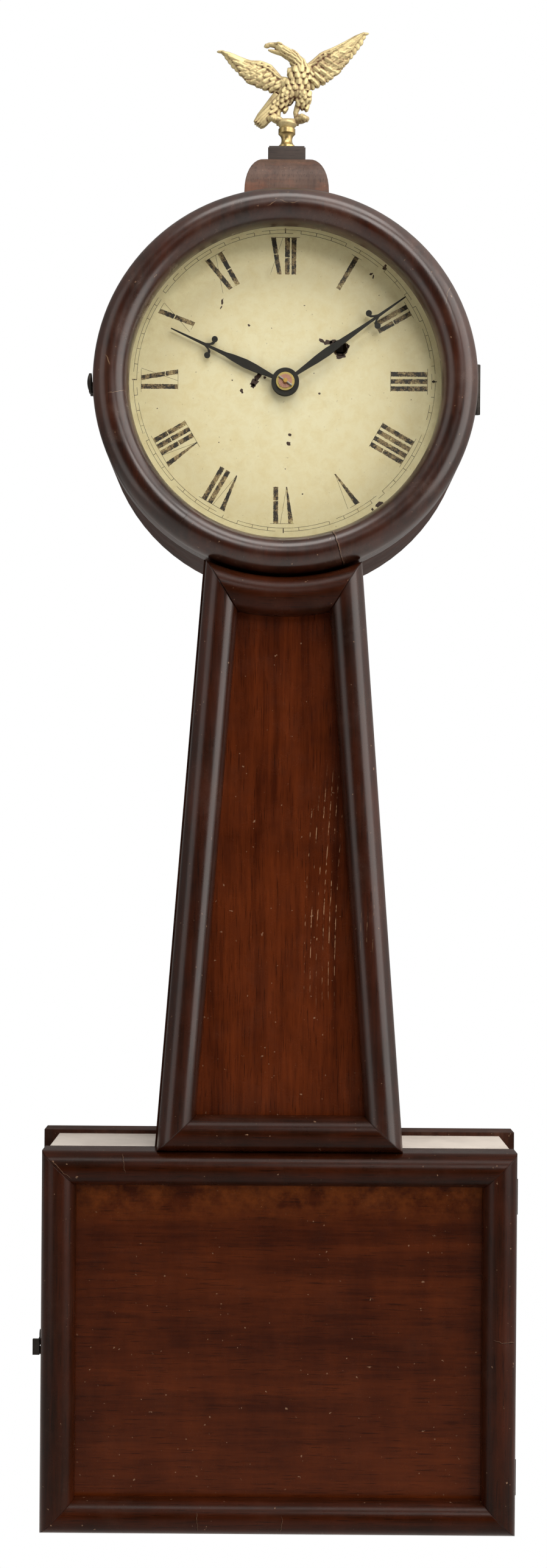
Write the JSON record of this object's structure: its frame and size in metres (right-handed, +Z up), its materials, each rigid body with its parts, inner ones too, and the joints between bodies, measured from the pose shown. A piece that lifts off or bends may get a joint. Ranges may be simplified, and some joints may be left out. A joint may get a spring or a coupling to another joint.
{
  "type": "banjo clock",
  "caption": "Weight-driven wall clock with a round glazed head, tapered throat, box base with a hinged door and a spread-eagle finial.",
  "frame": {"origin": "on the wall plane (back of the back board), straight behind the hands' arbor", "axes": "+Z up along the clock's height, +X to the right seen from the front, +Y towards the wall, so the dial faces -Y"},
  "size_m": [0.278, 0.0988, 0.8555],
  "materials": {
    "mahogany": "dark aged mahogany with an old, slightly worn polish",
    "panel_mahogany": "redder mahogany panels, thinner old polish",
    "case_wood": "aged mahogany, oiled",
    "plain_wood": "plain secondary wood",
    "gilt_brass": "cast and lacquered, darker in the recesses",
    "movement_brass": "brushed brass",
    "blued_steel": "blackened",
    "steel": "bright steel, lightly worn",
    "black_iron": "dark iron",
    "dial_paint": "aged cream enamel",
    "glass": "old flat clear glass",
    "putty": "old hard putty",
    "cord": "twisted gut line"
  },
  "bodies": {
    "case": {"backboard": "case_wood", "head_ring": "case_wood", "throat_sides": "case_wood", "throat_stiles": "mahogany", "throat_rail_top": "mahogany", "throat_rail_bottom": "mahogany", "throat_panel": "panel_mahogany", "box_sides": "case_wood", "box_top": "case_wood", "box_bottom": "case_wood", "finial_bracket": "mahogany", "finial_plinth": "mahogany", "finial_spool": "gilt_brass", "eagle": "gilt_brass", "weight_partition": "plain_wood", "hanger_plate": "black_iron", "case_screws": "black_iron", "dial": "dial_paint", "dial_screws": "movement_brass", "back_plate": "movement_brass", "front_plate": "movement_brass", "plate_pillars": "movement_brass", "plate_screws": "steel", "movement_spacers": "plain_wood", "movement_screws": "steel", "pendulum_bridge": "movement_brass", "hinge_case_leaves": "steel", "cord_hook": "black_iron", "weight_cord": "cord", "minute_post": "steel"},
    "bezel": {"bezel_ring": "mahogany", "bezel_glass": "glass", "glass_putty": "putty", "bezel_hinge_leaf": "steel", "bezel_catch": "black_iron"},
    "bezel_hook": {"bezel_hook": "black_iron"},
    "door": {"door_stiles": "mahogany", "door_rails": "mahogany", "door_panel": "panel_mahogany", "door_hinge_leaves": "steel", "door_catch": "black_iron"},
    "door_hook": {"door_hook": "black_iron"},
    "centre_arbor": {"centre_wheel": "movement_brass", "cannon_pinion": "movement_brass", "minute_hand": "blued_steel", "hand_collet": "movement_brass", "hand_pin": "steel"},
    "great_wheel": {"great_wheel": "movement_brass"},
    "third_arbor": {"third_wheel": "movement_brass"},
    "escape_arbor": {"escape_wheel": "movement_brass"},
    "minute_wheel": {"minute_wheel": "movement_brass"},
    "hour_wheel": {"hour_wheel": "movement_brass", "hour_hand": "blued_steel"},
    "barrel": {"barrel": "movement_brass"},
    "weight": {"weight": "black_iron"},
    "pulley": {"weight_pulley": "movement_brass"},
    "pendulum": {"pendulum_rod": "movement_brass", "pendulum_bob": "movement_brass"},
    "pallet_arbor": {"pallets": "steel", "crutch": "steel"}
  },
  "joints": [
    {"name": "bezel_open", "type": "hinge", "parent": "case", "child": "bezel", "pos_m": [0.1086, -0.07025, -0.0029], "axis": [0, 0, 1], "range_deg": [0, 110]},
    {"name": "bezel_hook_lift", "type": "hinge", "parent": "case", "child": "bezel_hook", "pos_m": [-0.1093, -0.06, -0.0029], "axis": [-1, 0, 0], "range_deg": [0, 75]},
    {"name": "door_open", "type": "hinge", "parent": "case", "child": "door", "pos_m": [0.1332, -0.07025, -0.5394], "axis": [0, 0, 1], "range_deg": [0, 110]},
    {"name": "door_hook_lift", "type": "hinge", "parent": "case", "child": "door_hook", "pos_m": [-0.1343, -0.06, -0.5421], "axis": [-1, 0, 0], "range_deg": [0, 75]},
    {"name": "centre_arbor_spin", "type": "hinge", "parent": "case", "child": "centre_arbor", "pos_m": [0, -0.04, 0], "axis": [0, 1, 0], "continuous": true},
    {"name": "great_wheel_spin", "type": "hinge", "parent": "case", "child": "great_wheel", "pos_m": [0.031, -0.04, 0.0206], "axis": [0, 1, 0], "continuous": true},
    {"name": "third_arbor_spin", "type": "hinge", "parent": "case", "child": "third_arbor", "pos_m": [-0.011, -0.04, 0.024], "axis": [0, 1, 0], "continuous": true},
    {"name": "escape_arbor_spin", "type": "hinge", "parent": "case", "child": "escape_arbor", "pos_m": [0, -0.04, 0.0405], "axis": [0, 1, 0], "continuous": true},
    {"name": "minute_wheel_spin", "type": "hinge", "parent": "case", "child": "minute_wheel", "pos_m": [-0.017, -0.04, -0.017], "axis": [0, 1, 0], "continuous": true},
    {"name": "hour_wheel_spin", "type": "hinge", "parent": "case", "child": "hour_wheel", "pos_m": [0, -0.04, 0], "axis": [0, 1, 0], "continuous": true},
    {"name": "weight_travel", "type": "slide", "parent": "case", "child": "weight", "axis": [0, 0, 1], "range_m": [0, 0.33], "deforming": ["weight_cord"]},
    {"name": "barrel_spin", "type": "hinge", "parent": "case", "child": "barrel", "pos_m": [0.031, -0.04, 0.0206], "axis": [0, 1, 0], "range_deg": [-4950, 0]},
    {"name": "pulley_spin", "type": "hinge", "parent": "weight", "child": "pulley", "pos_m": [0.0113, -0.034, -0.446], "axis": [0, 1, 0], "range_deg": [0, 1600]},
    {"name": "pendulum_swing", "type": "hinge", "parent": "case", "child": "pendulum", "pos_m": [0, -0.065, 0.0645], "axis": [0, 1, 0], "range_deg": [-2.5, 2.5]},
    {"name": "pallet_swing", "type": "hinge", "parent": "case", "child": "pallet_arbor", "pos_m": [0, -0.04, 0.0645], "axis": [0, 1, 0], "range_deg": [-2.5, 2.5]}
  ],
  "couplings": [
    {"joint": "great_wheel_spin", "follows": "centre_arbor_spin", "ratio": -0.083333},
    {"joint": "third_arbor_spin", "follows": "centre_arbor_spin", "ratio": -10},
    {"joint": "escape_arbor_spin", "follows": "centre_arbor_spin", "ratio": 80},
    {"joint": "minute_wheel_spin", "follows": "centre_arbor_spin", "ratio": -0.33333},
    {"joint": "hour_wheel_spin", "follows": "centre_arbor_spin", "ratio": 0.083333},
    {"joint": "barrel_spin", "follows": "weight_travel", "rad_per_m": -259.74},
    {"joint": "pulley_spin", "follows": "weight_travel", "rad_per_m": 83.333},
    {"joint": "pallet_swing", "follows": "pendulum_swing", "ratio": 1}
  ]
}
